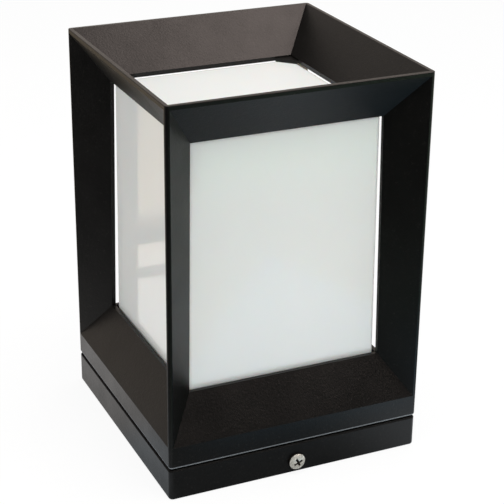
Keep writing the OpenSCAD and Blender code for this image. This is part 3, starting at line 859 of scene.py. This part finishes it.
def add_housing():
    """Housing of the lamp: a neck, a stepped shoulder and a fluted cone."""
    low, high = node_box("lamp_housing")
    angles = turns(FLUTE_SIDES * FLUTES)
    shoulder_z = high.z - SHOULDER_DROP
    cone_h = high.z - 6 - shoulder_z
    flute_h = high.z - 7 - shoulder_z
    top_r = high.x
    slope = (top_r - 3 - BODY_R) / cone_h

    def fluted(radius, z):
        """Loop of the cone, with flutes that fade out towards both ends."""
        share = min(max((z - shoulder_z) / flute_h, 0), 1)
        depth = FLUTE_DEPTH * max(0.0, math.sin(math.pi * share)) ** 0.5
        return loop(lambda a: radius - depth * (0.5 - 0.5 * math.cos(FLUTES * a)), z, angles)

    neck = plain_loops(low.z, ((11.4, 0),), angles)
    neck += plain_loops(high.z, ((11.4, -36), (13.1, -35.4), (14.0, -32.6), (14.3, -32),
                                 (15.2, -30.6)), angles)
    heights = [shoulder_z + cone_h * i / FLUTE_STEPS for i in range(FLUTE_STEPS + 1)]
    cone = [fluted(BODY_R + slope * (z - shoulder_z), z) for z in heights]
    rim = plain_loops(high.z, ((top_r - 1.6, -3.2), (top_r - 0.2, -0.5), (top_r, -0.2),
                               (top_r - 0.2, 0)), angles)
    loops = [[(0, 0, low.z)], *neck, *cone, *rim, [(0, 0, high.z)]]
    Solid().loft(loops).add("lamp_body", "lamp_housing")


def add_globe():
    """Thin frosted globe, cut off flat where it sits in the housing."""
    low, high = node_box("lamp_globe")
    centre_z = high.z - GLOBE_R
    inner_r = GLOBE_R - GLOBE_WALL
    top = math.pi / 2
    outer_rim, inner_rim = (-math.asin((centre_z - low.z) / r) for r in (GLOBE_R, inner_r))
    outline = []
    for r, first, last in ((GLOBE_R, top, outer_rim), (inner_r, inner_rim, top)):
        for i in range(GLOBE_STEPS + 1):
            a = first + (last - first) * i / GLOBE_STEPS
            outline.append((round(r * math.cos(a), 9), centre_z + r * math.sin(a)))
    lathe(outline, LATHE_SIDES).add("lamp_dome", "lamp_globe")


def add_holder():
    """Porcelain body, rolled brass shell and the hollow bolt through its foot."""
    low, high = node_box("lampholder_body")
    z = low.z
    outline = [(5.1, z), (12, z), (19.5, z + 6.4), (19.5, high.z - 5), (20.3, high.z - 4),
               (20.3, high.z - 1), (19.5, high.z), (14, high.z), (14, z + 7),
               (BOLT_BORE, z + 7), (BOLT_BORE, z + 5), (5.1, z + 5)]
    lathe(rounded(outline, 0.8), LATHE_SIDES).add("holder_porcelain", "lampholder_body")

    low, high = node_box("lampholder_shell")
    angles = turns(SHELL_SIDES)
    r, inner_r = high.x, high.x - HOLDER_WALL
    outside = plain_loops(low.z, ((r - HOLDER_ROLL, 0),), angles)
    outside += rolled_loops(r, HOLDER_ROLL, low.z + 0.4, high.z - 1.5, angles)
    outside += plain_loops(high.z, ((r, -0.7), (r, -0.1), (inner_r, -0.1), (inner_r, -0.7)),
                           angles)
    inside = rolled_loops(inner_r, HOLDER_ROLL, high.z - 1.5, low.z + 0.9, angles)
    inside += plain_loops(low.z, ((CONTACT_R, 0.5), (CONTACT_R, 0)), angles)
    Solid().loft(outside + inside, closed=True).add("holder_screw_shell", "lampholder_shell")

    low, high = node_box("holder_nipple")
    angles = turns(BOLT_SIDES)
    r = high.x
    tube = plain_loops(low.z, ((r - 0.5, 0),), angles)
    tube += thread_loops(r, low.z + 0.3, high.z - 0.3, BOLT_PITCH, angles)
    tube += plain_loops(high.z, ((r - 0.5, 0), (BOLT_BORE + 0.2, 0), (BOLT_BORE, -0.2)), angles)
    tube += plain_loops(low.z, ((BOLT_BORE, 0.2), (BOLT_BORE + 0.2, 0)), angles)
    Solid().loft(tube, closed=True).add("hollow_bolt", "holder_nipple")


# ---------- all pieces ----------

# Piece, CAD node, and how far its edges are rounded over.
SOFTENED = (
    ("frame_casting", "lantern_frame", 0.45),
    ("skirt_casting", "base_skirt", 0.5),
    ("ring_plate", "retainer_ring", 0.25),
    ("bracket_plate", "mount_bracket", 0.3),
    ("cable_bushing", "cable_grommet", 0.3),
    ("terminal_strip", "terminal_block", 0.3),
    ("terminal_set_screws", "terminal_screws", 0.12),
    ("bridge_strap", "holder_strap", 0.2),
    ("hex_nut", "holder_nut", 0.2),
    ("centre_contact", "lampholder_contact", 0.15),
    ("white_tray", "reflector_dish", 0.3),
    ("tray_standoffs", "dish_standoffs", 0.25),
)


def add_pieces():
    """The pieces that stand for CAD nodes, and a finish on each node that stays."""
    for node, obj in frame["nodes"].items():
        obj.data.materials.clear()
        obj.data.materials.append(MATERIALS[SLOT_OF[node]])
    for name, node, width in SOFTENED:
        softened(name, node, width)
    add_diffuser()
    add_screws()
    add_holder()
    add_cap()
    add_housing()
    add_globe()


# ---------- stage ----------

FLOOR_HALF = 3.0
WHITE = (1.0, 1.0, 1.0)
FLOOR_GREY = (0.80, 0.80, 0.80)
FLOOR_WHITENESS = 0.90  # as the camera sees it; the rest of it shows the shadow
AMBIENT_COLOUR = (0.96, 0.98, 1.0)
AMBIENT_STRENGTH = 0.50
BACKDROP_COLOUR = (1.0, 0.88, 0.79)
AIM = Vector((0, 0, 100)) * MM  # the middle of the object


def in_pale_corner(g):
    """1 on a pale part of the floor far in front of the object, 0 off it."""
    return g.math("MULTIPLY", g.slope((-0.770, -0.643, 0), 100, 112, 1.0, 0.0),
                  g.slope((0.961, -0.260, 0), 165, 176, 1.0, 0.0))


def floor_gloss(g):
    """How bright the floor is in reflections. At the left: mid grey beside the object, dark
    further out, and pale with two dark stripes behind. In front: dim at the left, bright in
    the middle, dark and then bright again at the right. Far in front: black left of a
    slanting edge, grey right of it, with one pale part."""
    beside = g.math("ADD", g.slope(BACK, -60, 90, 0.47, 0.82), g.slope(LEFT, 68, 80, 0.0, 0.20))
    dark = g.math("MULTIPLY", g.slope((-0.909, -0.417, 0), 110, 280, 0.39, 0.02),
                  g.slope(BACK, -230, -60, 0.05, 1.0))
    pale = g.between(g.slope(BACK, 222, 225), g.slope(BACK, 200, 400, 1.05, 0.70),
                     g.slope(BACK, 238, 290, 0.0, 0.80))
    stripe = g.math("MULTIPLY", g.slope(BACK, 172, 175), g.slope(BACK, 188, 191, 1.0, 0.0))
    striped = g.between(stripe, pale, 0.2)
    behind = g.between(g.slope((-1, -0.382, 0), 36, 38), 0.30, striped)
    left_far = g.between(g.slope(BACK, 25, 60), dark, behind)
    left_side = g.between(g.slope(LEFT, 84, 92), beside, left_far)

    front_right = g.between(g.slope(RIGHT, 150, 260), g.slope(RIGHT, 92, 120, 1.0, 0.15), 0.8)
    front = g.math("MULTIPLY", g.slope(RIGHT, 15, 90, 0.22, 1.28), front_right)
    front_far = g.math("MULTIPLY", g.slope(BACK, -460, -320, 1.9, 0.40),
                       g.slope(BACK, -505, -480, 0.02, 1.0))
    cornered = g.between(in_pale_corner(g), front_far, 0.95)
    edged = g.between(g.slope((1, 0.46, 0), -92, -80), 0.03, cornered)
    ahead = g.between(g.slope(BACK, -130, -108), edged, front)
    return g.between(g.slope(LEFT, 58, 66), ahead, left_side)


def floor_tint(g):
    """The floor's colour in reflections: green grey far in front and bluer on its pale part,
    nearly neutral near the object, and warm far behind."""
    far_front = g.blend(in_pale_corner(g), (0.72, 1.10, 0.80), (0.52, 1.02, 1.42))
    front = g.blend(g.slope(BACK, -125, -108), far_front, (0.94, 1.0, 1.05))
    behind = g.blend(g.slope(BACK, 120, 300), (1.0, 0.97, 0.95), (1.0, 0.82, 0.60))
    return g.blend(g.slope(BACK, -20, 20), front, behind)


def add_floor():
    """Plain pale floor, white to the camera but for a faint shadow."""
    half = FLOOR_HALF
    mesh = bpy.data.meshes.new("floor")
    mesh.from_pydata([(-half, -half, 0), (half, -half, 0), (half, half, 0), (-half, half, 0)],
                     [], [(0, 1, 2, 3)])
    floor = bpy.data.objects.new("floor", mesh)
    SCENE.collection.objects.link(floor)
    f = Finish("floor", Roughness=0.9, Specular_IOR_Level=0.1)
    camera = f.ray("Camera")
    f.colour(f.blend(camera, FLOOR_GREY, WHITE))
    white = f.nodes.new("ShaderNodeEmission")
    gloss = f.nodes.new("ShaderNodeEmission")
    f.feed(gloss.inputs["Color"], floor_tint(f))
    f.feed(gloss.inputs["Strength"], floor_gloss(f))
    seen = f.shader_mix(f.math("MULTIPLY", camera, FLOOR_WHITENESS),
                        f.shader.outputs[0], white.outputs[0])
    f.feed(f.nodes["Material Output"].inputs["Surface"],
           f.shader_mix(f.ray("Glossy"), seen, gloss.outputs[0]))
    mesh.materials.append(f.material)


def add_world():
    """White to the camera, an even light on the object, and for reflections a backdrop
    that is bright behind and overhead and dim in front."""
    world = bpy.data.worlds.new("studio")
    SCENE.world = world
    world.use_nodes = True
    g = Graph(world.node_tree, "Generated")
    ambient = g.nodes["Background"]
    g.feed(ambient.inputs["Color"], AMBIENT_COLOUR)
    g.feed(ambient.inputs["Strength"], AMBIENT_STRENGTH)
    white = g.nodes.new("ShaderNodeBackground")
    g.feed(white.inputs["Color"], WHITE)
    gloss = g.nodes.new("ShaderNodeBackground")
    g.feed(gloss.inputs["Color"], BACKDROP_COLOUR)
    behind_left = g.fade(g.along((-0.35, 0.93, 0.1)), 0.68, 0.93, 0.03, 0.57)
    behind_right = g.fade(g.along((0.42, 0.90, 0.1)), 0.82, 0.94, 0.0, 0.75)
    overhead = g.fade(g.along(UP), 0.68, 0.82)
    bright = g.math("ADD", g.math("ADD", behind_left, behind_right), overhead)
    g.feed(gloss.inputs["Strength"], bright)
    lit = g.shader_mix(g.ray("Glossy"), ambient.outputs[0], gloss.outputs[0])
    g.feed(g.nodes["World Output"].inputs["Surface"],
           g.shader_mix(g.ray("Camera"), lit, white.outputs[0]))


def add_softbox(name, place, size, watts, colour=WHITE, card=False):
    """Square soft light aimed at the middle of the object, or a card that only shows in
    reflections."""
    data = bpy.data.lights.new(name, "AREA")
    data.size = size
    data.energy = watts
    data.color = colour
    light = bpy.data.objects.new(name, data)
    SCENE.collection.objects.link(light)
    light.location = place
    light.rotation_euler = (AIM - light.location).to_track_quat("-Z", "Y").to_euler()
    light.visible_camera = False
    light.visible_glossy = card
    light.visible_diffuse = not card


def add_lights():
    """Softboxes above, in front and at the left, and a card that the head's funnel mirrors."""
    add_softbox("top_box", (0.1, -0.2, 1.2), 0.9, 11.8, (1.0, 0.975, 0.945))
    add_softbox("front_box", (0.4, -1.2, 0.6), 0.8, 2.3, (0.86, 1.0, 0.96))
    add_softbox("left_box", (-1.2, -0.1, 0.5), 0.8, 3.0, (1.0, 0.97, 0.90))
    add_softbox("funnel_card", (0.28, -0.17, 0.53), 0.36, 2.3, (1.0, 0.84, 0.78), card=True)


MATERIALS = make_materials()
add_camera()
add_pieces()
add_floor()
add_world()
add_lights()
SCENE.view_settings.view_transform = "Standard"
